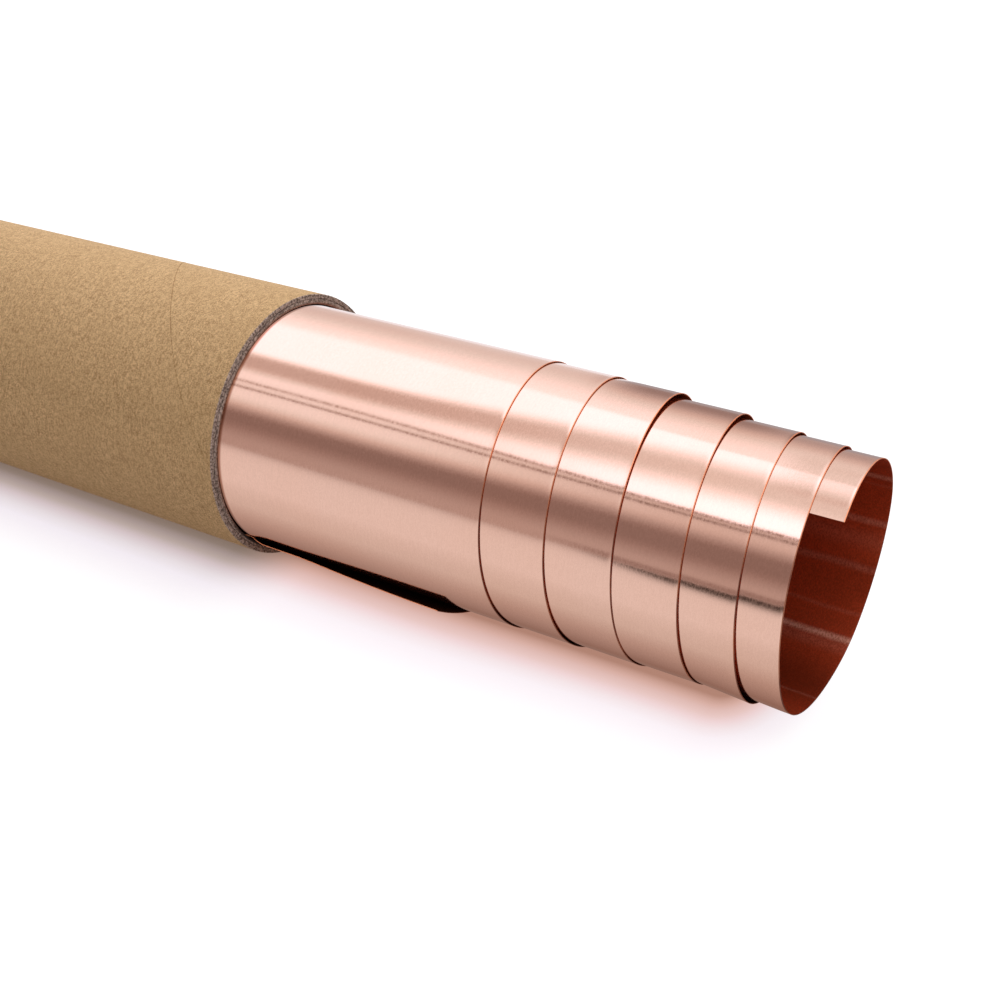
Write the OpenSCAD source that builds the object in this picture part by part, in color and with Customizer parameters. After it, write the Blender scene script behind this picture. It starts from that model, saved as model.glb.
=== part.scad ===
// Roll of copper sheet, drawn part of the way out of the cardboard tube that it is kept in.
// The tube lies on its side along X, with the open end of the roll towards +X and +Z up.
// The origin is under the middle of the whole length, on the surface that the tube lies on.
// Angles round the roll run from the front (-Y) over the top (+Z) to the back (+Y).

/* [Tube] */
// Length of the tube
tube_length = 381; // [340:1:600]
// Bore of the tube
tube_bore = 76.2; // [66:0.1:100]
// Thickness of the tube's wall
tube_wall = 3.2; // [1.5:0.1:6]
// Chamfer that is rubbed onto the edges of both cut ends
rim_chamfer = 0.4; // [0.1:0.05:0.7]

/* [Sheet] */
// Width of the sheet, which lies along the roll
sheet_width = 305; // [260:1:330]
// Length of the sheet, which is wound up
sheet_length = 1510; // [1200:5:1900]
// Thickness of the sheet
sheet_gauge = 0.2; // [0.1:0.01:0.35]

/* [Winding] */
// Clearance between the outermost turn and the bore of the tube
bore_clearance = 0.2; // [0.1:0.05:0.6]
// Gap between two turns that are wound tight
turn_gap = 0.06; // [0.05:0.01:0.12]
// Angle of the sheet's inner end round the roll
inner_end_angle = 54.7; // [0:0.1:359]

/* [Innermost turns] */
// How far the innermost turn has shrunk away from the others
shrink = 3; // [2:0.1:5]
// How quickly the shrinking fades out from turn to turn
shrink_power = 2.18; // [1.8:0.01:3]
// How far the innermost turn leans to one side
lean = 2.6; // [0:0.1:3.2]
// Direction in which it leans
lean_angle = 39; // [0:1:60]
// How far the innermost turn is out of round
oval = 0.8; // [0:0.05:1]
// Direction of the oval's long axis
oval_angle = 84; // [60:1:110]

/* [Loose stretch] */
// Turns from the inner end to the middle of the stretch that is wound loose
loose_turn = 3.2; // [2:0.1:4.5]
// Turns over which that stretch fades in and out
loose_spread = 1.2; // [1:0.1:2]
// Slack that the stretch adds all round
loose_slack = 0.7; // [0:0.05:1.2]
// Share of the slack that lies to one side
loose_lean = 1.1; // [0:0.05:1.2]
// Direction in which the turns inside that stretch lean
loose_angle = -30; // [-60:1:0]

/* [Telescoped rims] */
// How far the innermost rim stands out of the tube
reach = 176.6; // [150:0.1:190]
// Step from the innermost rim to the next one
first_step = 6.8; // [4:0.1:9]
// Growth of the step with each turn outwards
step_growth = 3.3; // [2:0.1:5]
// Largest step from one rim to the next
largest_step = 18.9; // [14:0.1:20]

/* [Free end] */
// How far the outer corner of the free end springs away from the roll
lip_lift = 2.1; // [0:0.1:3]
// Share of a turn over which the free end lifts
lip_turns = 0.12; // [0.08:0.01:0.3]
// How far that corner has drawn back towards the tube
corner_pull = 2.7; // [0:0.1:5]

/* [Hidden] */
$fn = 96;

steps_per_turn = 48;
tube_radius = tube_bore / 2 + tube_wall;
mouth_x = (tube_length - reach) / 2;
tube_start_x = mouth_x - tube_length;

roll_radius = tube_bore / 2 - bore_clearance;
turn_pitch = sheet_gauge + turn_gap;
// Turns that take up the sheet's length, on a spiral that tightens by one pitch a turn
mean_shrink = shrink / (shrink_power + 1) + loose_slack / 2;
widest_mean = roll_radius - mean_shrink;
roll_turns = (widest_mean - sqrt(pow(widest_mean, 2) - turn_pitch * sheet_length / PI)) / turn_pitch;
// Turns over which the steps grow before they reach the largest one
growing_turns = (largest_step - first_step) / step_growth;

// Everything below is a function of t, the turns counted from the sheet's inner end
function angle(t) = inner_end_angle + 360 * t;

// Shrinking of the innermost turns, largest at the inner end and nothing at the outer one
function shrunk(t) = pow(max(0, 1 - t / roll_turns), shrink_power)
    * (shrink - lean * cos(angle(t) - lean_angle) - oval * cos(2 * (angle(t) - oval_angle)));

// Slack of the loose stretch, all of it inside the stretch and nothing outside
function slack(t) = let (u = min(1, max(0, 0.5 + (loose_turn - t) / loose_spread)))
    u * u * (3 - 2 * u) * (loose_slack - loose_lean * cos(angle(t) - loose_angle));

function wound_radius(t) = roll_radius - (roll_turns - t) * turn_pitch - shrunk(t) - slack(t);

// Distance from the innermost rim back to the rim at t
function telescoped(t) = let (growing = min(t, growing_turns))
    first_step * growing + step_growth * growing * growing / 2 + largest_step * (t - growing);

// 0 where the free end starts to lift, 1 at its cut edge
function end_share(t) = max(0, 1 - (roll_turns - t) / lip_turns);

function rim_x(t) = mouth_x + reach - telescoped(t) - corner_pull * pow(end_share(t), 2);

// The free end lifts more and more towards its corner, and not at all inside the tube
function lift(t, x) = let (across = (x - mouth_x) / max(1, rim_x(roll_turns) - mouth_x))
    lip_lift * pow(end_share(t), 2) * sin(90 * min(1, max(0, across)));

function sheet_point(t, x, depth) = let (r = wound_radius(t) + lift(t, x) - depth)
    [x, -r * cos(angle(t)), tube_radius + r * sin(angle(t))];

// Stations across the sheet at t, from its hidden edge to its rim
function stations(t) = let (hidden = rim_x(t) - sheet_width, mouth = min(mouth_x, rim_x(t) - 2))
    [hidden, mouth, (mouth + rim_x(t)) / 2, rim_x(t)];

// One closed ring round the sheet's thickness: out along its outer face, back along its inner one
function sheet_ring(t) = let (xs = stations(t), last = len(xs) - 1)
    concat([for (i = [0:last]) sheet_point(t, xs[i], 0)],
           [for (i = [last:-1:0]) sheet_point(t, xs[i], sheet_gauge)]);

module cardboard_tube() {
    color([0.79, 0.67, 0.52])
    translate([tube_start_x, 0, tube_radius])
    rotate([0, 90, 0])
    rotate_extrude()
    polygon([
        [tube_bore / 2 + rim_chamfer, 0], [tube_radius - rim_chamfer, 0],
        [tube_radius, rim_chamfer], [tube_radius, tube_length - rim_chamfer],
        [tube_radius - rim_chamfer, tube_length], [tube_bore / 2 + rim_chamfer, tube_length],
        [tube_bore / 2, tube_length - rim_chamfer], [tube_bore / 2, rim_chamfer]]);
}

module copper_sheet() {
    n = ceil(roll_turns * steps_per_turn - 0.25);
    rings = [for (i = [0:n]) sheet_ring(min(i / steps_per_turn, roll_turns))];
    sides = len(rings[0]);
    points = [for (ring = rings) each ring];
    // Two triangles for each side of the sheet between two rings, and a strip across each end
    ends = [for (k = [0:sides / 2 - 2]) [k, k + 1, sides - 2 - k, sides - 1 - k]];
    faces = concat(
        ends,
        [for (i = [0:n - 1], k = [0:sides - 1]) let (a = i * sides + k, b = i * sides + (k + 1) % sides)
            each [[b, a, a + sides], [b, a + sides, b + sides]]],
        [for (quad = ends) [for (k = [3:-1:0]) n * sides + quad[k]]]);
    color([0.86, 0.62, 0.52])
    polyhedron(points, faces, convexity = 16);
}

cardboard_tube();
copper_sheet();
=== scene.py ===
# The roll of copper sheet in its cardboard tube: fine surfaces, finishes, studio and camera.
from math import atan, cos, degrees, pi, radians, sin, sqrt

import bpy
import numpy as np
from mathutils import Matrix, Vector


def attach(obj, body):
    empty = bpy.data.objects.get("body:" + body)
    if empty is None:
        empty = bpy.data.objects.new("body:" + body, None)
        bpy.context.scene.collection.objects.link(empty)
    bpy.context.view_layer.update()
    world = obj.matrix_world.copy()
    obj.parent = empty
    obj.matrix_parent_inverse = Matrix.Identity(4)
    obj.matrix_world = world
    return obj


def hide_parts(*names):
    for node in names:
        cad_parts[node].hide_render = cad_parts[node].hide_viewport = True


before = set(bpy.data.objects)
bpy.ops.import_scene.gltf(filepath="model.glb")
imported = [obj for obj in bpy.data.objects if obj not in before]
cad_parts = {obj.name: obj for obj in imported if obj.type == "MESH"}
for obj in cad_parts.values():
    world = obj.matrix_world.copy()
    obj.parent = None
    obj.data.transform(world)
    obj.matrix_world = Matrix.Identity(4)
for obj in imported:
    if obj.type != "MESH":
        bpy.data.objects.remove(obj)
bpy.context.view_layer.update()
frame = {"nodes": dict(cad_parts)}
mm = 0.001
print("frame loaded:", ", ".join(frame["nodes"]))

# Angles round the roll run from the front (-Y) over the top to the back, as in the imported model.
tube = {
    "length": 381 * mm,
    "bore": 76.2 * mm,
    "wall": 3.2 * mm,
    "plies": 8,
    "plyRelief": 0.08 * mm,  # how far each ply stands out of the cut rim
    "splitRelief": 0.3 * mm,  # depth of the crack between the two middle plies
    "splitRadius": 39.75 * mm,
    "splitWidth": 0.12 * mm,
    "fuzz": 0.1 * mm,  # unevenness of the saw cut
    "rimRound": 0.3 * mm,
    "mouthWear": (0.3 * mm, 0.8 * mm),  # rounding of the mouth's inner edge, and the same where it is worn
    "wornAngles": (-16, -42),  # the worn stretch begins between these
    "wornEnd": -100,  # and ends here
    "mouthLength": 20 * mm,  # the tube's front end, which is a piece of its own
    "seamLead": -190.8 * mm,  # along the tube for one turn of the outer ply's butt seam
    "seamAngle": 4.8,  # where the seam meets the open rim
    "seamGap": 0.16 * mm,
    "seamDepth": 0.14 * mm,
    "seamLift": 0.05 * mm,  # the ply's edges stand a little proud beside the seam
    "besideSeam": (0, 0.5, 0.85, 1.2, 2.2, 5, 12, 24),  # the grid's first columns, in widths of the gap
    "plainSteps": 110,
    "stepsRound": 720,
    "boreSteps": 144,
    "mouthRows": 16,
    "bodyRows": 140,
}

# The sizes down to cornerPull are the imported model's own, apart from lipLift.
sheet = {
    "width": 305 * mm,
    "length": 1510 * mm,
    "gauge": 0.2 * mm,
    "boreClearance": 0.2 * mm,
    "turnGap": 0.06 * mm,
    "innerEndAngle": 54.7,
    "shrink": 3 * mm,
    "shrinkPower": 2.18,
    "lean": 2.6 * mm,
    "leanAngle": 39,
    "oval": 0.8 * mm,
    "ovalAngle": 84,
    "looseTurn": 3.2,
    "looseSpread": 1.2,
    "looseSlack": 0.7 * mm,
    "looseLean": 1.1 * mm,
    "looseAngle": -30,
    "reach": 176.6 * mm,
    "firstStep": 6.8 * mm,
    "stepGrowth": 3.3 * mm,
    "largestStep": 18.9 * mm,
    "lipLift": 2.9 * mm,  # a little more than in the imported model
    "lipTurns": 0.12,
    "cornerPull": 2.7 * mm,
    "mouthLift": 0.45,  # share of the lift that the free end already has beside the mouth
    "mouthLiftFrom": 0.3 * mm,  # where that begins outside the mouth, and over what length it comes
    "mouthLiftLength": 5 * mm,
    "sag": 1.8 * mm,  # the two innermost turns hang down a little at the open end
    "sagAngles": (-55, 50),  # where they do it, and half the stretch that it takes
    "sagFrom": (131 * mm, 172 * mm),  # it grows between these distances from the mouth
    "sagTurns": 2.2,
    "bow": 1.6 * mm,  # the innermost rim bows out at the back
    "bowTurns": (0.02, 0.3, 0.5, 0.76),
    "rimFlare": 0.04 * mm,  # burr that the shears left along the rim
    "flareLength": 0.5 * mm,
    "burrWaves": (9.1, 3.7, 23),  # it changes along the rim in waves of these rates
    "rimStations": (2.4 * mm, 1.5 * mm, 0.9 * mm, 0.5 * mm, 0.22 * mm, 0),  # back from the rim
    "mouthStations": (0, 0.01, 0.03),  # shares of the way from the mouth to the rim
    "evenStations": 9,  # those in between, from the first share on
    "firstShare": 0.07,
    "brightBack": 0.5 * mm,  # how far back into the tube the outer face's finish goes
    "glowTurns": 1.2,  # turns whose inner face shows in the open end
    "stepsPerTurn": 160,
    "sharpAngle": 35,
}

tubeRadius = tube["bore"] / 2 + tube["wall"]
mouthX = (tube["length"] - sheet["reach"]) / 2
tubeStartX = mouthX - tube["length"]


# Meshes

def ringPoints(x, radius, angle):
    turned = np.radians(angle)
    x, radius, turned = np.broadcast_arrays(x, radius, turned)
    return np.stack([x, -radius * np.cos(turned), tubeRadius + radius * np.sin(turned)], axis=-1)


def gridFaces(rows, columns, closed, start=0):
    # quads of a grid whose columns run on in a circle where closed says so
    last = columns if closed else columns - 1
    return [
        (start + i * columns + j, start + i * columns + (j + 1) % columns,
         start + (i + 1) * columns + (j + 1) % columns, start + (i + 1) * columns + j)
        for i in range(rows - 1) for j in range(last)
    ]


def newPiece(name, points, faces, materials, faceMaterial=None, sharpAngle=40):
    mesh = bpy.data.meshes.new(name)
    mesh.from_pydata(points.reshape(-1, 3).tolist(), [], faces)
    for material in materials:
        mesh.materials.append(material)
    if faceMaterial is not None:
        mesh.polygons.foreach_set("material_index", faceMaterial)
    mesh.polygons.foreach_set("use_smooth", [True] * len(faces))
    mesh.set_sharp_from_angle(angle=radians(sharpAngle))
    mesh.update()
    piece = bpy.data.objects.new(name, mesh)
    bpy.context.scene.collection.objects.link(piece)
    return piece


# Shader sockets

class Wire:  # a shader socket that can be used in sums
    def __init__(self, tree, socket=None):
        self.tree = tree
        self.socket = socket

    # adds a node of any kind: its settings first, then a value or a wire for each input
    def node(self, kind, settings=None, inputs=None, output=0):
        made = self.tree.nodes.new("ShaderNode" + kind)
        for name, value in (settings or {}).items():
            if name == "stops":
                ramp = made.color_ramp
                while len(ramp.elements) < len(value):
                    ramp.elements.new(0.5)
                for element, (place, colour) in zip(ramp.elements, value):
                    element.position = place
                    element.color = (*colour, 1)
            else:
                setattr(made, name, value)
        for name, value in (inputs or {}).items():
            if isinstance(value, Wire):
                self.tree.links.new(value.socket, made.inputs[name])
            else:
                made.inputs[name].default_value = value
        return Wire(self.tree, made.outputs[output]) if made.outputs else None

    def maths(self, operation, first, second=0.0):
        return self.node("Math", {"operation": operation}, {0: first, 1: second})

    def __add__(self, other):
        return self.maths("ADD", self, other)

    __radd__ = __add__

    def __sub__(self, other):
        return self.maths("SUBTRACT", self, other)

    def __rsub__(self, other):
        return self.maths("SUBTRACT", other, self)

    def __mul__(self, other):
        return self.maths("MULTIPLY", self, other)

    __rmul__ = __mul__

    def __truediv__(self, other):
        return self.maths("DIVIDE", self, other)

    def __rtruediv__(self, other):
        return self.maths("DIVIDE", other, self)

    def __pow__(self, other):
        return self.maths("POWER", self, other)

    def __neg__(self):
        return self * -1

    def size(self):
        return self.maths("ABSOLUTE", self)

    def atLeast(self, other):
        return self.maths("MAXIMUM", self, other)

    def rise(self, low, high, bottom=0.0, top=1.0):
        # a soft step from bottom to top while the value goes from low to high
        inputs = {"Value": self, "From Min": low, "From Max": high, "To Min": bottom, "To Max": top}
        return self.node("MapRange", {"interpolation_type": "SMOOTHSTEP"}, inputs)

    def between(self, first, second):
        # numbers: first where this is 0, second where it is 1
        return self.node("Mix", {"data_type": "FLOAT"}, {0: self, 2: first, 3: second})

    def tint(self, first, second):
        # colours: first where this is 0, second where it is 1
        pair = [v if isinstance(v, Wire) else (*v, 1) for v in (first, second)]
        return self.node("Mix", {"data_type": "RGBA"}, {0: self, 6: pair[0], 7: pair[1]}, 2)

    def dyed(self, colour):
        # this colour times another one
        return self.node("Mix", {"data_type": "RGBA", "blend_type": "MULTIPLY"},
                         {0: 1.0, 6: self, 7: colour}, 2)

    def ramp(self, stops):
        return self.node("ValToRGB", {"stops": stops}, {"Fac": self})

    def stretched(self, along, across):
        # the place vector, squeezed along the tube and round it by two scales
        return self.node("VectorMath", {"operation": "MULTIPLY"}, {0: self, 1: (along, across, across)})

    def noise(self, scale, detail=2.0, roughness=0.5):
        inputs = {"Vector": self, "Scale": scale, "Detail": detail, "Roughness": roughness}
        return self.node("TexNoise", {}, inputs)

    def spots(self, scale, reach, chance):
        # 1 in the middle of a scattered few of the Voronoi cells, 0 beyond reach
        near = self.node("TexVoronoi", {}, {"Vector": self, "Scale": scale}, "Distance")
        lot = self.node("TexVoronoi", {}, {"Vector": self, "Scale": scale}, "Color")
        picked = lot.node("SeparateColor", {}, {"Color": lot}, "Red").rise(chance, chance * 0.98)
        return near.rise(reach, reach * 0.4) * picked

    def bump(self, height, depth, strength=1.0):
        return self.node("Bump", {}, {"Strength": strength, "Distance": depth, "Height": height})

    def parts(self):
        return [self.node("SeparateXYZ", {}, {0: self}, k) for k in range(3)]

    def angleRound(self):
        # degrees round the tube's axis at this place, from -180 to 180 with 0 at the front
        y, z = self.parts()[1:]
        return self.maths("ARCTAN2", z - tubeRadius, -y) * degrees(1)

    def rays(self, *kinds):
        return [self.node("LightPath", {}, {}, "Is " + kind + " Ray") for kind in kinds]


def newMaterial(name):
    material = bpy.data.materials.new(name)
    material.use_nodes = True
    material.node_tree.nodes.clear()
    start = Wire(material.node_tree)
    place = start.node("TexCoord", {}, {}, "Object")
    return material, place


def finish(place, shader):
    place.node("OutputMaterial", {}, {"Surface": shader})


def scaled(colour, share):
    return tuple(v * share for v in colour)


# Cardboard

kraft = {
    "colour": (0.55, 0.352, 0.149),
    "pale": (0.76, 0.517, 0.244),
    "dark": (0.345, 0.2, 0.071),
    "speck": (0.26, 0.155, 0.08),
    "blotches": 1000,  # scales of the paper's patterns, and their shares
    "fibres": 3200,
    "longFibres": 1800,
    "clouds": 38,
    "shares": (0.25, 0.57, 0.18),
    "specks": 420,
    "speckReach": 0.25,
    "speckChance": 0.03,
    "fibreDepth": 0.1 * mm,
    "board": (0.14, 0.1, 0.075),
    "boardPale": (0.68, 0.53, 0.43),
    "boardDark": (0.07, 0.045, 0.035),
    "grit": 1700,
    "gritDepth": 0.18 * mm,
    "boreFibres": 1900,
    "plyWaves": 150,
    "splitShade": (0.22 * mm, 0.06 * mm),  # half widths of the crack's soft and dark parts
    "splitWave": 0.4 * mm,
    # painted light and shade at the mouth's inner edge: an orange-brown glow as if lit from the copper, and
    # near black shadow in the gap along the worn stretch
    "paintedInnerEdgeGlow": (0.30, 0.13, 0.075),
    "innerEdgeRadii": (38.9 * mm, 38.5 * mm),
    "paintedGapShadow": (0.012, 0.006, 0.005),
    "gapShadowRadii": (39.3 * mm, 39.0 * mm),
    "frontRim": (10 * mm, 9 * mm),  # the painted glow and shadow at the mouth's inner edge start this far behind it
}


def kraftFace():
    material, place = newMaterial("kraft_face")
    blotch = place.noise(kraft["blotches"], 3, 0.7)
    fibre = place.noise(kraft["fibres"], 2, 0.7)
    long = place.stretched(1.0, 0.3).noise(kraft["longFibres"], 2, 0.5)
    cloud = place.noise(kraft["clouds"], 2)
    blotchShare, fibreShare, longShare = kraft["shares"]
    tone = blotch * blotchShare + fibre * fibreShare + long * longShare
    paper = tone.rise(0.40, 0.60).tint(kraft["dark"], kraft["pale"])
    paper = cloud.rise(0.3, 0.7, 0.0, 0.25).tint(paper, kraft["colour"])
    specks = place.spots(kraft["specks"], kraft["speckReach"], kraft["speckChance"])
    paper = (specks * 0.4).tint(paper, kraft["speck"])
    bump = place.bump(fibre * 0.6 + blotch * 0.4, kraft["fibreDepth"], 0.6)
    rough = tone.rise(0.3, 0.7, 0.9, 0.74)
    finish(place, place.node("BsdfPrincipled", {}, {"Base Color": paper, "Roughness": rough,
                                                    "Normal": bump}))
    return material


def boardRim():
    material, place = newMaterial("board_rim")
    x, y, z = place.parts()
    height = z - tubeRadius
    radius = (y * y + height * height) ** 0.5
    grit = place.noise(kraft["grit"], 2, 0.7)
    wave = place.noise(kraft["plyWaves"], 2)
    ply = ((radius - tube["bore"] / 2) / tube["wall"] + (wave - 0.5) * 0.05) * tube["plies"]
    line = place.maths("PINGPONG", ply, 0.5).rise(0.0, 0.14)
    board = grit.rise(0.36, 0.66).tint(kraft["board"], kraft["boardPale"])
    board = (line * 0.5 + 0.5).tint(kraft["boardDark"], board)
    offSplit = (radius - tube["splitRadius"] + (wave - 0.5) * kraft["splitWave"]).size()
    board = (offSplit.rise(*kraft["splitShade"]) * 0.6).tint(board, kraft["boardDark"])
    soft, full = kraft["frontRim"]
    atFront = x.rise(mouthX - soft, mouthX - full)
    # painted glow: the inner edge near the mouth is tinted as if lit by light from the copper
    inner = radius.rise(*kraft["innerEdgeRadii"]) * atFront
    board = (inner * 0.85).tint(board, kraft["paintedInnerEdgeGlow"])
    # painted shadow: along the worn stretch the inner edge is painted near black for the shade in the gap
    # beside the copper
    shadowInWornGap = radius.rise(*kraft["gapShadowRadii"]) * place.angleRound().rise(*tube["wornAngles"]) * atFront
    board = shadowInWornGap.tint(board, kraft["paintedGapShadow"])
    bump = place.bump(grit + line * 0.5, kraft["gritDepth"], 0.9)
    finish(place, place.node("BsdfPrincipled", {}, {"Base Color": board, "Roughness": 0.9, "Normal": bump}))
    return material


def boreFace():
    material, place = newMaterial("bore_face")
    fibre = place.noise(kraft["boreFibres"], 3, 0.6)
    paper = fibre.rise(0.3, 0.7).tint(kraft["board"], kraft["boardPale"])
    bump = place.bump(fibre, kraft["fibreDepth"], 0.4)
    finish(place, place.node("BsdfPrincipled", {}, {"Base Color": paper, "Roughness": 0.9, "Normal": bump}))
    return material


def outerFace(fromX, toX, rows):
    # laid out along the seam, so that the seam is one column of the grid
    along = np.linspace(fromX, toX, rows)
    circumference = 2 * pi * tubeRadius
    beside = np.array(tube["besideSeam"]) * tube["seamGap"]
    plain = np.linspace(beside[-1], circumference - beside[-1], tube["plainSteps"])[1:-1]
    offsets = np.concatenate([beside, plain, circumference - beside[:0:-1]])
    fromSeam = np.minimum(offsets, circumference - offsets)
    groove = np.where(fromSeam <= tube["seamGap"] * 0.55, tube["seamDepth"], 0)
    proud = tube["seamLift"] * np.exp(-fromSeam / (6 * tube["seamGap"]))
    seamTurn = tube["seamAngle"] + (along - mouthX) / tube["seamLead"] * 360
    angles = seamTurn[:, None] + np.degrees(offsets / tubeRadius)[None, :]
    lowered = tube["seamLift"] + groove - proud * (groove == 0)
    return ringPoints(along[:, None], (tubeRadius - lowered)[None, :], angles)


def cutRim(endX, side, wear, draw):
    # one cut end from inside the bore outwards: a low crown on each ply, a crack and rounded edges
    around = tube["stepsRound"]
    stepsPerPly = 4
    shares = np.linspace(0, 1, tube["plies"] * stepsPerPly + 1)
    crown = np.abs(np.sin(pi * np.arange(len(shares)) / stepsPerPly))
    radii = tube["bore"] / 2 + shares * tube["wall"]
    fromBore = (shares * tube["wall"])[:, None]
    fromFace = ((1 - shares) * tube["wall"])[:, None]
    depth = 1.3 * wear * np.maximum(0, 1 - fromBore / wear) ** 2
    depth = depth + tube["rimRound"] * np.maximum(0, 1 - fromFace / tube["rimRound"]) ** 2
    depth = depth + (tube["plyRelief"] * (1 - crown))[:, None]
    crack = np.exp(-((radii - tube["splitRadius"]) / tube["splitWidth"]) ** 2)
    depth = depth + (tube["splitRelief"] * crack)[:, None]
    ragged = draw.normal(0, 1, (len(radii), around))
    ragged = (ragged + np.roll(ragged, 1, axis=1) * 0.6) / 1.2  # the saw's marks run on round the rim
    depth = depth + tube["fuzz"] * np.abs(ragged)
    depth = np.concatenate([np.full((1, around), depth.max() + 0.1 * mm), depth])
    radii = np.minimum(np.concatenate([radii[:1], radii]), tubeRadius - tube["seamLift"])
    turn = np.linspace(0, 360, around, endpoint=False)
    return ringPoints(endX - side * depth, radii[:, None], turn[None, :]), depth.max()


def tubePiece(name, fromX, toX, rows, materials, endX, side, wear, draw):
    # one stretch of the tube with the cut rim at one of its ends
    rim, rimDepth = cutRim(endX, side, wear, draw)
    trim = tube["rimRound"]
    outer = outerFace(fromX + trim * (side < 0), toX - trim * (side > 0), rows)
    boreX = np.linspace(fromX + rimDepth * (side < 0), toX - rimDepth * (side > 0), max(4, rows // 4))
    boreTurn = np.linspace(0, 360, tube["boreSteps"], endpoint=False)
    bore = ringPoints(boreX[:, None], tube["bore"] / 2, boreTurn[None, :])
    points, faces, kinds = [], [], []
    for kind, (grid, flip) in enumerate(((outer, False), (rim, side > 0), (bore, True))):
        start = sum(len(p) for p in points)
        made = gridFaces(*grid.shape[:2], True, start)
        points.append(grid.reshape(-1, 3))
        faces += [face[::-1] for face in made] if flip else made
        kinds += [kind] * len(made)
    piece = newPiece(name, np.concatenate(points), faces, materials, kinds)
    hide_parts("cardboard_tube")
    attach(piece, "root")
    print(name + ":", len(faces), "faces")
    return piece


def cardboardTube():
    materials = [kraftFace(), boardRim(), boreFace()]
    draw = np.random.default_rng(7)
    turn = np.linspace(0, 360, tube["stepsRound"], endpoint=False)
    turn = np.where(turn < 180, turn, turn - 360)
    plain, most = tube["mouthWear"]
    start, full = tube["wornAngles"]
    share = np.clip((start - turn) / (start - full), 0, 1) * (turn > tube["wornEnd"])
    wear = (plain + (most - plain) * share)[None, :]
    jointX = mouthX - tube["mouthLength"]
    mouth = tubePiece("tubeMouth", jointX, mouthX, tube["mouthRows"], materials, mouthX, 1, wear, draw)
    # the photo's copper doesn't mirror the mouth: its grain scatters what lies along the tube
    mouth.visible_glossy = False
    tubePiece("tubeBody", tubeStartX, jointX, tube["bodyRows"], materials, tubeStartX, -1,
              tube["rimRound"], draw)


# Copper

copper = {
    "colour": (0.80, 0.53, 0.43),
    "warm": (0.80, 0.515, 0.41),
    "clouds": 24,
    "rubbed": (0.33, 0.14, 0.085),  # painted shade on the copper beside the mouth's edge
    "mouthShadeLength": 0.8 * mm,
    "roughness": 0.095,
    "grain": 2400,
    "hatch": 2600,
    "grainDepth": 0.006 * mm,
    "grainDark": (0.965, 0.96, 0.955),
    "grainPale": (1.022, 1.022, 1.022),
    # painted shade: copper inside the tube is painted near black, and the faces between turns get a painted
    # orange glow of light bouncing between them
    "inTube": (0.04, 0.014, 0.008),
    "paintedGapGlow": (0.6, 0.12, 0.04),
    "unlitFront": (-12, -45),  # no light gets between the turns below these angles
    "unlitBack": (55, 100),  # and little beyond these
    "inside": (0.47, 0.066, 0.02),
    "insidePale": (0.95, 0.52, 0.36),
    # painted bands of reflected light along the roll's inside: angle, half width and strength
    "insideBands": (
        (142, 3.5, 0.46), (149, 1.8, 0.08), (175.5, 3.4, 0.34), (187, 9, 0.1), (203, 3.4, 0.2),
        (227, 1.8, 0.1), (241.7, 2.9, 0.85), (246, 6, 0.14), (280, 1.5, 0.14)),
    "insideDark": (272, 27, 0.62),  # a stretch of painted shade, in the same terms
    "insideGrain": 2600,
    "insideClouds": 60,
    "insideWobble": (90, 7),  # the bands' edges waver: scale and degrees
    "cutEdge": (1.0, 0.38, 0.18),
    "edgeDark": (0.2, 0.065, 0.035),
    "edgePatches": 60,
    "edgeFades": (52, 22),  # painted shade turns a rim from orange to brown between these angles
}


def copperFinish():
    material, place = newMaterial("rolled_copper")
    x = place.parts()[0]
    grain = place.stretched(1, 0.55).noise(copper["grain"], 2, 0.6)
    hatch = place.stretched(1, 0.12).noise(copper["hatch"], 2, 0.6)
    cloud = place.noise(copper["clouds"], 2)
    tone = cloud.rise(0.3, 0.7).tint(copper["colour"], copper["warm"])
    # painted shade: the copper darkens towards the mouth's edge
    rub = x.rise(mouthX + copper["mouthShadeLength"], mouthX - 0.2 * mm)
    tone = rub.tint(tone, copper["rubbed"])
    marks = (hatch * 0.35 + grain * 0.65).rise(0.36, 0.64).tint(copper["grainDark"], copper["grainPale"])
    bump = place.bump(grain * 0.8 + hatch * 0.2, copper["grainDepth"])
    rough = grain.rise(0.25, 0.75, copper["roughness"] - 0.03, copper["roughness"] + 0.04)
    finish(place, place.node("BsdfPrincipled", {}, {"Base Color": tone.dyed(marks), "Metallic": 1.0,
                                                    "Roughness": rough, "Normal": bump}))
    return material


def paintedInsideLight():
    # the roll's inside is painted with a deep red glow, because light meets copper many times on its way
    # out
    material, place = newMaterial("copper_inside")
    angle = place.angleRound()
    angle = angle + place.maths("LESS_THAN", angle, 0.0) * 360
    grain = place.stretched(1, 0.6).noise(copper["insideGrain"], 2, 0.6)
    cloud = place.stretched(0.35, 1).noise(copper["insideClouds"], 2)
    scale, degreesOff = copper["insideWobble"]
    wobble = (place.noise(scale, 2) - 0.5) * degreesOff
    inside = copper["inside"]
    tone = (grain * 0.6 + cloud * 0.4).rise(0.36, 0.64).tint(scaled(inside, 0.8), scaled(inside, 1.25))
    darkAt, darkWidth, darkness = copper["insideDark"]
    shade = (angle + wobble - darkAt).size().rise(darkWidth, 0)
    tone = (shade * darkness).tint(tone, scaled(inside, 0.25))
    uneven = grain.rise(0.3, 0.65) * 0.6 + 0.4
    for at, width, strength in copper["insideBands"]:
        band = (angle + wobble * 0.35 - at).size().rise(width, 0)
        tone = (band * uneven * strength).tint(tone, copper["insidePale"])
    bump = place.bump(grain, copper["grainDepth"] * 3)
    finish(place, place.node("BsdfPrincipled", {}, {"Base Color": tone, "Metallic": 0.55, "Roughness": 0.36,
                                                    "Specular IOR Level": 0.1, "Normal": bump}))
    return material


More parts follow.
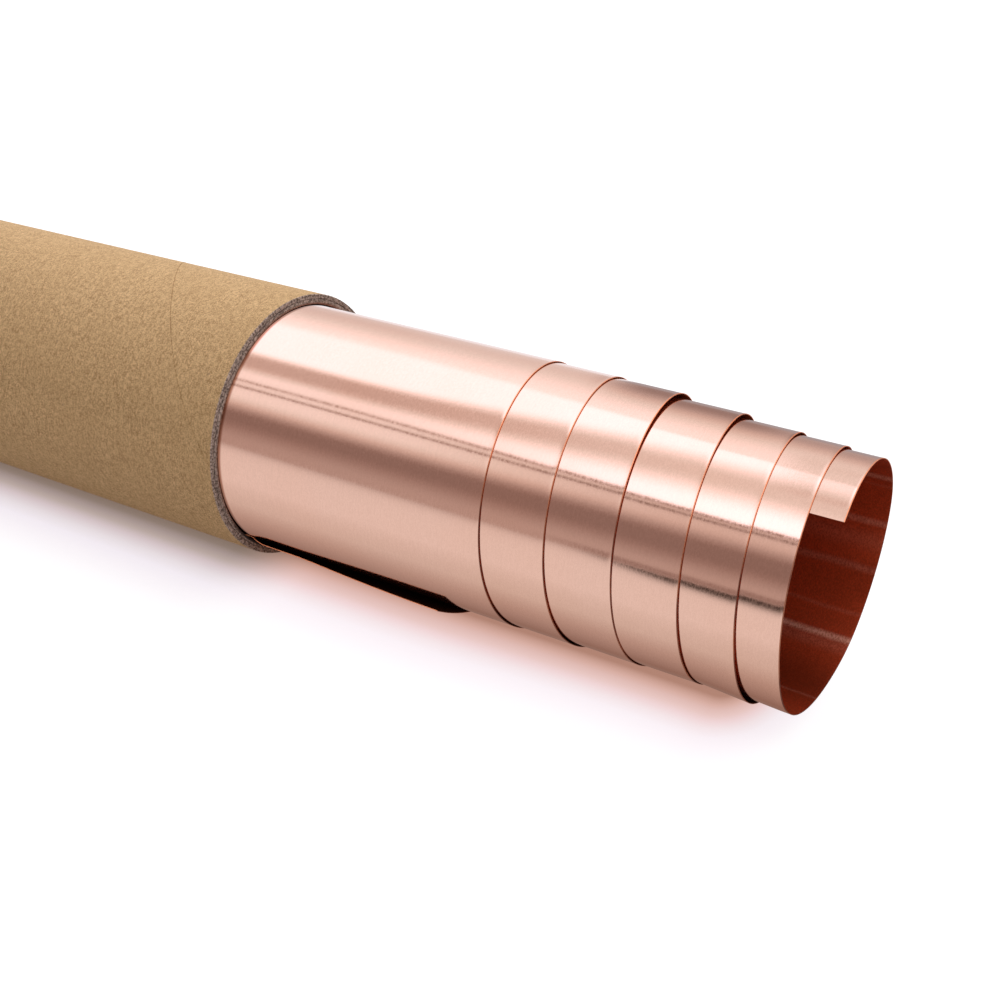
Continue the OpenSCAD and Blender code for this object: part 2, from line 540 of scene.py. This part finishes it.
def rimGlowAndShade(name, darkness):
    # the rims are painted orange at the top, a painted glow, and dark brown lower down, a painted shade,
    # more in some places than in others
    material, place = newMaterial(name)
    patches = place.noise(copper["edgePatches"], 2).rise(0.38, 0.6)
    shade = (place.angleRound().rise(*copper["edgeFades"]) * 0.7 + patches * 0.3) * darkness
    tone = shade.tint(copper["cutEdge"], copper["edgeDark"])
    finish(place, place.node("BsdfPrincipled", {}, {"Base Color": tone, "Metallic": 0.7,
                                                    "Roughness": 0.45}))
    return material


def paintedShadeAndGlow(name, lit, dark):
    # painted light and shade for faces out of the light: between two turns the light gets in at the front
    # only and is painted there as an orange glow, with near black painted shade elsewhere
    material, place = newMaterial(name)
    angle = place.angleRound()
    unlit = angle.rise(*copper["unlitFront"]).atLeast(angle.rise(*copper["unlitBack"]) * 0.75)
    tone = unlit.tint(copper[lit], copper[dark])
    finish(place, place.node("BsdfPrincipled", {}, {"Base Color": tone, "Roughness": 0.8,
                                                    "Specular IOR Level": 0.0}))
    return material


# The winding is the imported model's own law: t counts the turns from the sheet's inner end.
rollRadius = tube["bore"] / 2 - sheet["boreClearance"]
turnPitch = sheet["gauge"] + sheet["turnGap"]
widestMean = rollRadius - sheet["shrink"] / (sheet["shrinkPower"] + 1) - sheet["looseSlack"] / 2
rollTurns = (widestMean - sqrt(widestMean ** 2 - turnPitch * sheet["length"] / pi)) / turnPitch
growingTurns = (sheet["largestStep"] - sheet["firstStep"]) / sheet["stepGrowth"]


def angleAt(t):
    return sheet["innerEndAngle"] + 360 * t


def woundRadius(t):
    angle = angleAt(t)
    shrunk = np.maximum(0, 1 - t / rollTurns) ** sheet["shrinkPower"] * (
        sheet["shrink"] - sheet["lean"] * np.cos(np.radians(angle - sheet["leanAngle"]))
        - sheet["oval"] * np.cos(np.radians(2 * (angle - sheet["ovalAngle"]))))
    u = np.clip(0.5 + (sheet["looseTurn"] - t) / sheet["looseSpread"], 0, 1)
    slack = u * u * (3 - 2 * u) * (
        sheet["looseSlack"] - sheet["looseLean"] * np.cos(np.radians(angle - sheet["looseAngle"])))
    return rollRadius - (rollTurns - t) * turnPitch - shrunk - slack


def endShare(t):
    return np.maximum(0, 1 - (rollTurns - t) / sheet["lipTurns"])


def rimAt(t):
    growing = np.minimum(t, growingTurns)
    drawn = (sheet["firstStep"] * growing + sheet["stepGrowth"] * growing ** 2 / 2
             + sheet["largestStep"] * (t - growing))
    return mouthX + sheet["reach"] - drawn - sheet["cornerPull"] * endShare(t) ** 2


# The rest of the sheet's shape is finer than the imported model's.

def smooth(value, low, high):
    share = np.clip((value - low) / (high - low), 0, 1)
    return share * share * (3 - 2 * share)


def bowed(t):
    first, full, last, end = sheet["bowTurns"]
    return sheet["bow"] * smooth(t, first, full) * smooth(t, end, last)


def sagged(t, x):
    middle, reach = sheet["sagAngles"]
    away = np.abs((angleAt(t) - middle + 180) % 360 - 180)
    start, full = sheet["sagFrom"]
    return sheet["sag"] * smooth(away, reach, 0) * smooth(x - mouthX, start, full) * (t < sheet["sagTurns"])


def lifted(t, x):
    # the free end lifts towards its corner, and has some of that already beside the mouth
    reachShare = np.clip((x - mouthX) / (rimAt(rollTurns) - mouthX), 0, 1)
    outOfMouth = np.clip((x - mouthX - sheet["mouthLiftFrom"]) / sheet["mouthLiftLength"], 0, 1)
    across = np.maximum(np.sin(pi / 2 * reachShare), sheet["mouthLift"] * outOfMouth * (2 - outOfMouth))
    return sheet["lipLift"] * endShare(t) ** 2 * across


def flared(t, fromRim):
    first, second, third = sheet["burrWaves"]
    unevenBurr = 1 + 0.5 * np.sin(t * first + 1) * np.sin(t * second) + 0.3 * np.sin(t * third)
    return sheet["rimFlare"] * unevenBurr * np.exp(-(fromRim / sheet["flareLength"]) ** 2)


def copperSheet():
    t = np.linspace(0, rollTurns, int(rollTurns * sheet["stepsPerTurn"]))[:, None]
    rim = rimAt(t) + bowed(t)
    hidden = rim - sheet["width"]
    nearRim = rim - np.array(sheet["rimStations"])[None, :]
    evenShares = np.linspace(sheet["firstShare"], 1, sheet["evenStations"] + 1)[:-1]
    shares = np.concatenate([sheet["mouthStations"], evenShares])
    outOfTube = mouthX + (nearRim[:, :1] - mouthX) * shares[None, :]
    outOfTube[:, 0] -= sheet["brightBack"]
    inTube = mouthX + (hidden - mouthX) * np.array([1, 0.5])[None, :]
    x = np.concatenate([inTube, outOfTube, nearRim], axis=1)
    radius = woundRadius(t) + lifted(t, x) + flared(t, rim - x) + sagged(t, x)
    outer = ringPoints(x, radius, angleAt(t))
    inner = ringPoints(x, radius - sheet["gauge"], angleAt(t))
    points = np.concatenate([outer, inner[:, ::-1]], axis=1)
    rows, columns = points.shape[:2]
    half = columns // 2
    faces = [face[::-1] for face in gridFaces(rows, columns, True)]
    materials = [
        copperFinish(), paintedInsideLight(), rimGlowAndShade("copper_rim", 1),
        paintedShadeAndGlow("copper_in_tube", "inTube", "inTube"),
        paintedShadeAndGlow("copper_between_turns", "paintedGapGlow", "inTube"), rimGlowAndShade("copper_end", 0)]
    bright, glow, rimEdge, dark, gap, endEdge = range(len(materials))
    # outer side in the tube and outside it, the cut rim, the inner side and the cut hidden edge
    kinds = []
    for turn in t[:-1, 0]:
        innerSide = glow if turn < sheet["glowTurns"] else gap
        # the outer face's last strip beside the rim takes the rim's paint, a painted line for the gap's
        # shade and the rim's reflection
        kinds += [dark, dark] + [bright] * (half - 4) + [rimEdge, rimEdge]
        kinds += [innerSide] * (half - 1) + [rimEdge]
    ends = [(k, k + 1, columns - 2 - k, columns - 1 - k) for k in range(half - 1)]
    faces += ends
    faces += [tuple((rows - 1) * columns + k for k in face[::-1]) for face in ends]
    kinds += [endEdge] * (2 * len(ends))
    piece = newPiece("copperSheet", points, faces, materials, kinds, sheet["sharpAngle"])
    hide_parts("copper_sheet")
    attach(piece, "root")
    print("copper sheet:", len(faces), "faces,", round(rollTurns, 3), "turns")


# Camera

camera = {
    "azimuth": 30.71,
    "elevation": 29.70,
    "fromMouth": (242.2 * mm, -286.3 * mm, 184.3 * mm),
    "lens": 47.63,
    "sensor": 36,
}


def placeCamera():
    made = bpy.data.cameras.new("camera")
    made.lens = camera["lens"]
    made.sensor_width = camera["sensor"]
    made.clip_start = 0.01
    made.clip_end = 50
    placed = bpy.data.objects.new("camera", made)
    bpy.context.scene.collection.objects.link(placed)
    azimuth, elevation = radians(camera["azimuth"]), radians(camera["elevation"])
    back = Vector((sin(azimuth) * cos(elevation), -cos(azimuth) * cos(elevation), sin(elevation)))
    right = Vector((cos(azimuth), sin(azimuth), 0))
    up = back.cross(right)
    turned = Matrix((right, up, back)).transposed().to_4x4()
    eye = Vector((mouthX, 0, tubeRadius)) + Vector(camera["fromMouth"])
    placed.matrix_world = Matrix.Translation(eye) @ turned
    bpy.context.scene.camera = placed
    print("camera placed")


# Studio

# Lengths and places here are in metres, and angles go round the tube's axis like those of the roll.
cloth = {
    "radius": 0.9,
    "fromX": -2.4,
    "toX": 1.8,
    "steps": 48,
    "leftX": -0.45,  # the copper near the mouth mirrors what lies left of here
    "rightX": 0.03,  # and the open end of the roll what lies right of here
    # the first value of each of these pairs holds for the left and the second for the right
    "horizon": (0.46, 0.50),
    "skirt": (1.15, 0.72),  # light under the front box
    "skirtEdge": ((26.5, 30.0), (44.5, 46.0)),
    "bars": (((51.9, 50.0), 0.75), ((57.5, 53.6), 0.6)),  # thin dark bars under the front box, and depth
    "front": (1.27, 1.95),  # the front box
    "frontEdge": ((58.2, 54.2), (60.3, 56.2)),
    "frontEnd": ((64.0, 62.0), (73.5, 88.0)),
    "gap": (0.62, 0.95),  # between the two boxes
    "core": (1.76, 1.86),  # the box overhead
    "coreEdge": ((81.0, 92.0), (89.5, 114.0)),
    "coreEnd": ((121.0, 118.0), (131.0, 120.6)),
    "glow": (1.56, 1.38),  # cloth behind the overhead box
    "glowAngles": ((118.0, 122.0), (170.0, 176.0)),
    "low": (0.74, 0.8, 0.28, 0.44),  # the glow low down at the back, from the mouth to the open end
    "room": 0.235,  # brightness of the unlit room in front, as the copper mirrors it
    # between the two values of each pair from here on, a light or a shade comes in or goes out
    "horizonEnd": (3, 22),
    "barWidth": (0.4, 1.5),
    "lowSteps": ((-0.55, -0.3), (-0.21, -0.13), (-0.03, 0.03)),
    # dark line low down in front: angles, places along the tube and depth
    "darkLine": (((3.0, 1.0), (-0.2, -0.1), 0.42), ((0.3, -1.8), (-0.16, -0.02), 0.75)),
    "endShade": ((90, 98), (150, 132), (0.01, 0.045), 0.25),  # what the innermost turn mirrors is dimmer
    "unlitFront": ((70, 20), 0.9),
    # colours of the cloth, from dim to bright
    "tints": (
        (0.10, (1.0, 0.735, 0.68)), (0.17, (0.90, 0.735, 0.70)), (0.27, (0.85, 0.735, 0.70)),
        (0.40, (0.74, 0.735, 0.735)), (0.56, (0.74, 0.735, 0.79)), (0.72, (0.76, 0.735, 0.85))),
    "tintGreen": 0.735,  # green of every tint, so that the brightnesses above are those of green
    "tintScale": 0.4,  # from a brightness to a place among the tints
}


def lightTent():
    # a half cylinder of cloth over the roll with two boxes of light behind it
    name = "light_tent"
    material, place = newMaterial(name)
    x, y, z = place.parts()
    height = z - tubeRadius
    angle = place.maths("ARCCOSINE", -y / (y * y + height * height) ** 0.5) * degrees(1)
    right = x.rise(cloth["leftX"], cloth["rightX"])

    def graded(pair):
        return right.between(*pair)

    def step(edges):
        return angle.rise(graded(edges[0]), graded(edges[1]))

    light = angle.rise(*cloth["horizonEnd"]).between(graded(cloth["horizon"]), cloth["room"])
    light = step(cloth["skirtEdge"]).between(light, graded(cloth["skirt"]))
    front = step(cloth["frontEnd"]).between(graded(cloth["front"]), graded(cloth["gap"]))
    light = step(cloth["frontEdge"]).between(light, front)
    light = step(cloth["coreEdge"]).between(light, graded(cloth["core"]))
    mouthLow, middleLow, turnsLow, endLow = cloth["low"]
    firstStep, middleStep, lastStep = cloth["lowSteps"]
    outerLow = x.rise(*firstStep).between(mouthLow, middleLow)
    innerLow = x.rise(*lastStep).between(turnsLow, endLow)
    low = x.rise(*middleStep).between(outerLow, innerLow)
    glow = step(cloth["glowAngles"]).between(graded(cloth["glow"]), low)
    light = step(cloth["coreEnd"]).between(light, glow)
    for middle, depth in cloth["bars"]:
        away = (angle - graded(middle)).size()
        light = light * away.rise(*cloth["barWidth"], 1 - depth, 1)
    for angles, places, depth in cloth["darkLine"]:
        light = light * (1 - angle.rise(*angles) * x.rise(*places) * depth)
    startAngles, endAngles, places, depth = cloth["endShade"]
    light = light * (1 - angle.rise(*startAngles) * angle.rise(*endAngles) * x.rise(*places) * depth)
    # the front of the tent lights less than it shows, which leaves the tube's front in half shade
    lighting = place.rays("Diffuse")[0]
    angles, depth = cloth["unlitFront"]
    light = light * (1 - lighting * angle.rise(*angles) * depth)
    # dim cloth is warm and bright cloth is white
    tint = (light * cloth["tintScale"]).ramp(cloth["tints"])
    finish(place, place.node("Emission", {}, {"Color": tint, "Strength": light * (1 / cloth["tintGreen"])}))

    lowest = -degrees(atan(tubeRadius / cloth["radius"]))
    angles = np.linspace(lowest, 180 - lowest, cloth["steps"])
    ends = np.array([cloth["fromX"], cloth["toX"]])
    points = ringPoints(ends[:, None], cloth["radius"], angles[None, :])
    tent = newPiece(name, points, gridFaces(2, cloth["steps"], False), [material])
    tent.visible_camera = False
    print("light tent up")


ground = {
    "half": 7.0,
    "colour": (0.86, 0.855, 0.865),
    "bounce": 0.75,  # share of its light that it throws on the object
    "shown": 1.2,  # brightness of the plain floor that the camera sees
    "whiteShare": 0.75,  # share that the plain floor has in what the camera sees beside the object
    "whiteFrom": (0.05, 0.3),  # it grows to all of it between these distances
    "shadeEnds": (-0.27, 0.2475),  # the object's shade fades beyond these places along the tube
    "endFade": 1.45,  # and faster past the open end
    "shadeReach": 0.062,
    "narrower": ((0.15, 0.24), 0.17),  # it narrows by this share between these places
    "copperFrom": (0.085, 0.115),  # the shade changes from the tube's colours to the copper's here
    "besideTube": (
        (0.24, (0.23, 0.167, 0.133)), (0.29, (0.27, 0.205, 0.172)), (0.34, (0.38, 0.30, 0.285)),
        (0.39, (0.478, 0.389, 0.361)), (0.45, (0.64, 0.533, 0.556)), (0.53, (0.777, 0.711, 0.744)),
        (0.61, (0.875, 0.825, 0.886)), (0.71, (0.923, 0.883, 0.923)), (0.84, (0.967, 0.95, 0.967)),
        (1.0, (1, 1, 1))),
    "besideCopper": (
        (0.17, (0.44, 0.23, 0.17)), (0.21, (0.59, 0.345, 0.28)), (0.25, (0.70, 0.435, 0.375)),
        (0.29, (0.765, 0.515, 0.475)),
        (0.34, (0.827, 0.592, 0.564)), (0.39, (0.883, 0.683, 0.694)), (0.45, (0.911, 0.794, 0.817)),
        (0.53, (0.952, 0.889, 0.933)), (0.61, (0.975, 0.925, 0.964)), (0.71, (0.99, 0.975, 0.99)),
        (1.0, (1, 1, 1))),
    # what the copper mirrors of the floor
    "mirroredEnd": 0.285,
    "mirroredReach": 0.125,
    "mirrored": (
        (0.0, (0.26, 0.15, 0.12)), (0.16, (0.33, 0.205, 0.165)), (0.30, (0.58, 0.47, 0.43)),
        (0.42, (0.78, 0.72, 0.69)), (0.72, (0.95, 0.91, 0.91))),
    "farOff": ((0.12, 0.85), 0.45, (0.3, 0.22, 0.2)),  # distances ahead, share and colour
    "darkAhead": (0.2, 0.5),  # a dark card lies far off in front, with a slanting side
    "darkSide": (0.46, (0.255, 0.335)),
    "dark": (0.95, (0.05, 0.035, 0.03)),
    "behindFrom": (0.03, 0.07),  # behind the roll it is white, and grey past a slanting line
    "behind": (1.0, 0.98, 1.02),
    "greySide": (0.43, (0.211, 0.219)),
    "grey": (0.44, 0.39, 0.40),
}


def shownFloor(x, beside):
    # the floor beside the object: a painted brown shade beside the tube and a painted warm glow beside the
    # copper
    start, end = ground["shadeEnds"]
    endOn = ((x - end) * ground["endFade"]).atLeast(start - x).atLeast(0.0)
    away = (beside * beside + endOn * endOn) ** 0.5
    places, narrowed = ground["narrower"]
    share = away * (1 + x.rise(*places) * narrowed) / ground["shadeReach"]
    atCopper = x.rise(*ground["copperFrom"])
    return away, atCopper.tint(share.ramp(ground["besideTube"]), share.ramp(ground["besideCopper"]))


def mirroredFloor(x, y, beside):
    # what the copper mirrors of the floor: painted shade and warm glow beside the roll, pale beyond, darker
    # far off in front
    pastEnd = (x - ground["mirroredEnd"]).atLeast(0.0)
    away = (beside * beside + pastEnd * pastEnd) ** 0.5
    near = (away * (1 / ground["mirroredReach"])).ramp(ground["mirrored"])
    ahead = -y
    places, share, colour = ground["farOff"]
    mirrored = (ahead.rise(*places) * share).tint(near, colour)
    slant, edge = ground["darkSide"]
    card = ahead.rise(*ground["darkAhead"]) * (x + ahead * slant).rise(*edge)
    share, colour = ground["dark"]
    mirrored = (card * share).tint(mirrored, colour)
    behind = y.rise(*ground["behindFrom"])
    mirrored = behind.tint(mirrored, ground["behind"])
    slant, edge = ground["greySide"]
    return (behind * (x + y * slant).rise(*edge)).tint(mirrored, ground["grey"])


def studioFloor():
    # a lit floor, which camera and mirror rays see mostly as plain white with a faint shadow
    material, place = newMaterial("studio_floor")
    x, y = place.parts()[:2]
    beside = y.size()
    away, shown = shownFloor(x, beside)
    toCamera, toMirror, toGlass, toSurface = place.rays("Camera", "Glossy", "Transmission", "Diffuse")
    lit = toSurface.tint(ground["colour"], scaled(ground["colour"], ground["bounce"]))
    diffuse = place.node("BsdfDiffuse", {}, {"Color": lit})
    colour = toMirror.tint(shown, mirroredFloor(x, y, beside))
    strength = toMirror.between(ground["shown"], 1.0)
    plain = place.node("Emission", {}, {"Color": colour, "Strength": strength})
    nearShare = toCamera * ground["whiteShare"] + toMirror + toGlass
    farShare = place.maths("MINIMUM", toCamera + toMirror + toGlass, 1.0)
    plainShare = away.rise(*ground["whiteFrom"]).between(nearShare, farShare)
    finish(place, place.node("MixShader", {}, {0: plainShare, 1: diffuse, 2: plain}))
    half = ground["half"]
    corners = np.array([[[-half, -half, 0], [half, -half, 0]], [[-half, half, 0], [half, half, 0]]])
    floor = newPiece("studio_floor", corners, [(0, 1, 3, 2)], [material])
    print("floor laid")


def whiteWorld():
    lightLevel = 0.6
    world = bpy.data.worlds.new("white_world")
    bpy.context.scene.world = world
    world.use_nodes = True
    world.node_tree.nodes.clear()
    start = Wire(world.node_tree)
    toCamera, toMirror, toGlass = start.rays("Camera", "Glossy", "Transmission")
    seen = start.maths("MINIMUM", toCamera + toMirror + toGlass, 1.0)
    strength = seen.between(lightLevel, 1.0)
    shade = start.node("Background", {}, {"Color": (1, 1, 1, 1), "Strength": strength})
    start.node("OutputWorld", {}, {"Surface": shade})


placeCamera()
cardboardTube()
copperSheet()
lightTent()
studioFloor()
whiteWorld()
bpy.context.scene.view_settings.view_transform = "Standard"
